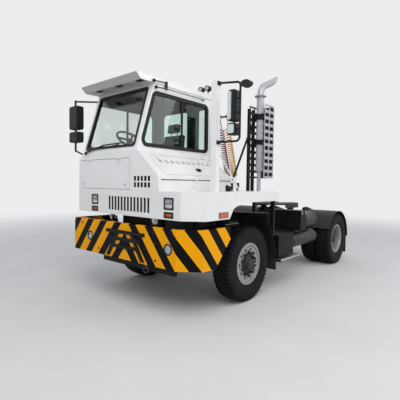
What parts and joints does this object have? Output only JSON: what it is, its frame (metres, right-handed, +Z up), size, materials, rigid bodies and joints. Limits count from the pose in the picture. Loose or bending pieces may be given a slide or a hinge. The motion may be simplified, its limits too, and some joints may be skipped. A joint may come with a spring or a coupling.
{
  "type": "terminal tractor",
  "caption": "Terminal tractor for moving trailers around a yard: narrow offset cab, twin rear wheels, a lifting boom with a fifth wheel, and an upright exhaust on the deck.",
  "frame": {"origin": "on the ground, at the middle of the overall length and width", "axes": "+X forward, +Y to the vehicle's left, +Z up"},
  "size_m": [5.5, 3.24, 3.371],
  "materials": {
    "cab_white": "gloss",
    "frame_black": "satin",
    "hazard_yellow": "gloss",
    "tyre": "matte",
    "rim_grey": "satin",
    "exhaust_grey": "satin",
    "galvanised": "satin",
    "cast": "rough",
    "seal": "matte",
    "flap": "matte",
    "glass": "clear",
    "lamp_clear": "clear",
    "lamp_orange": "gloss",
    "lamp_red": "gloss",
    "black_plastic": "matte",
    "cloth": "woven",
    "hose_red": "satin",
    "hose_yellow": "satin",
    "tank_grey": "satin",
    "rod_chrome": "polished"
  },
  "bodies": {
    "chassis": {"frame_rails": "frame_black", "frame_fittings": "frame_black", "bumper": "hazard_yellow", "tow_bracket": "frame_black", "fog_lamps": "lamp_clear", "radiator": "frame_black", "engine_block": "cast", "front_axle": "cast", "front_springs": "cast", "rear_axle": "cast", "drive_shaft": "cast", "fenders": "black_plastic", "mud_flaps": "flap", "deck": "cab_white", "deck_posts": "frame_black", "exhaust_stack": "exhaust_grey", "exhaust_guard": "galvanised", "exhaust_frame": "frame_black", "battery_box": "frame_black", "step_box": "frame_black", "air_tanks": "tank_grey", "fuel_tank": "frame_black", "tail_lamps": "lamp_red", "hose_stand": "frame_black", "air_line_red": "hose_red", "air_line_yellow": "hose_yellow"},
    "cab": {"front_body": "cab_white", "cab_shell": "cab_white", "window_seals": "seal", "cab_glass": "glass", "cab_roof": "cab_white", "headlamps": "lamp_clear", "indicators": "lamp_orange", "seat": "cloth", "dashboard": "black_plastic", "steering_wheel": "black_plastic", "mirror_post": "cab_white", "mirrors": "black_plastic", "roof_lamps": "black_plastic", "roof_rail": "black_plastic", "wiper": "black_plastic"},
    "front_hatch": {"front_hatch": "cab_white"},
    "side_hatch": {"side_hatch": "cab_white"},
    "rear_door": {"rear_door": "cab_white", "door_glass": "glass"},
    "knuckle_left": {"knuckle_left": "cast"},
    "knuckle_right": {"knuckle_right": "cast"},
    "track_rod": {"track_rod": "cast"},
    "front_wheel_left": {"front_wheel_left": "rim_grey", "front_tyre_left": "tyre"},
    "front_wheel_right": {"front_wheel_right": "rim_grey", "front_tyre_right": "tyre"},
    "rear_wheels_left": {"rear_wheel_left": "rim_grey", "rear_tyres_left": "tyre"},
    "rear_wheels_right": {"rear_wheel_right": "rim_grey", "rear_tyres_right": "tyre"},
    "lift_boom": {"lift_boom": "frame_black"},
    "fifth_wheel": {"fifth_wheel": "cast"},
    "cylinder_barrels": {"cylinder_barrels": "frame_black"},
    "cylinder_rods": {"cylinder_rods": "rod_chrome"}
  },
  "joints": [
    {"name": "cab_tilt", "type": "hinge", "parent": "chassis", "child": "cab", "pos_m": [2.6, 0, 1.15], "axis": [0, 1, 0], "range_deg": [0, 45]},
    {"name": "front_hatch_lift", "type": "hinge", "parent": "cab", "child": "front_hatch", "pos_m": [2.697, -0.547, 1.975], "axis": [0, -1, 0], "range_deg": [0, 75]},
    {"name": "side_hatch_lift", "type": "hinge", "parent": "cab", "child": "side_hatch", "pos_m": [1.88, 0.26222, 2.02572], "axis": [1, 0, 0], "range_deg": [0, 70]},
    {"name": "door_swing", "type": "hinge", "parent": "cab", "child": "rear_door", "pos_m": [1.148, -0.99, 2.27], "axis": [0, 0, 1], "range_deg": [0, 100]},
    {"name": "steer_left", "type": "hinge", "parent": "chassis", "child": "knuckle_left", "pos_m": [1.445, 0.872, 0.53], "axis": [0, 0, 1], "range_deg": [-32, 32]},
    {"name": "steer_right", "type": "hinge", "parent": "chassis", "child": "knuckle_right", "pos_m": [1.445, -0.872, 0.53], "axis": [0, 0, 1], "range_deg": [-32, 32]},
    {"name": "track_rod_turn", "type": "hinge", "parent": "knuckle_left", "child": "track_rod", "pos_m": [1.28, 0.872, 0.39], "axis": [0, 0, 1], "range_deg": [-32, 32]},
    {"name": "front_wheel_left_spin", "type": "hinge", "parent": "knuckle_left", "child": "front_wheel_left", "pos_m": [1.445, 1.005, 0.53], "axis": [0, 1, 0], "continuous": true},
    {"name": "front_wheel_right_spin", "type": "hinge", "parent": "knuckle_right", "child": "front_wheel_right", "pos_m": [1.445, -1.005, 0.53], "axis": [0, 1, 0], "continuous": true},
    {"name": "rear_wheels_left_spin", "type": "hinge", "parent": "chassis", "child": "rear_wheels_left", "pos_m": [-1.855, 0.915, 0.53], "axis": [0, 1, 0], "continuous": true},
    {"name": "rear_wheels_right_spin", "type": "hinge", "parent": "chassis", "child": "rear_wheels_right", "pos_m": [-1.855, -0.915, 0.53], "axis": [0, 1, 0], "continuous": true},
    {"name": "boom_lift", "type": "hinge", "parent": "chassis", "child": "lift_boom", "pos_m": [-0.315, 0, 1.055], "axis": [0, 1, 0], "range_deg": [0, 20]},
    {"name": "fifth_wheel_pitch", "type": "hinge", "parent": "lift_boom", "child": "fifth_wheel", "pos_m": [-1.455, 0, 1.12], "axis": [0, 1, 0], "range_deg": [-12, 12]},
    {"name": "cylinder_swing", "type": "hinge", "parent": "chassis", "child": "cylinder_barrels", "pos_m": [-0.9, 0, 0.8], "axis": [0, 1, 0], "range_deg": [0, 30]},
    {"name": "cylinder_extend", "type": "slide", "parent": "cylinder_barrels", "child": "cylinder_rods", "axis": [-0.8357, 0, 0.5492], "range_m": [0, 0.21]}
  ],
  "couplings": [
    {"joint": "steer_right", "follows": "steer_left", "ratio": 1},
    {"joint": "track_rod_turn", "follows": "steer_left", "ratio": -1},
    {"joint": "cylinder_swing", "follows": "boom_lift", "ratio": 1.4381},
    {"joint": "cylinder_extend", "follows": "boom_lift", "m_per_rad": 0.5742}
  ]
}
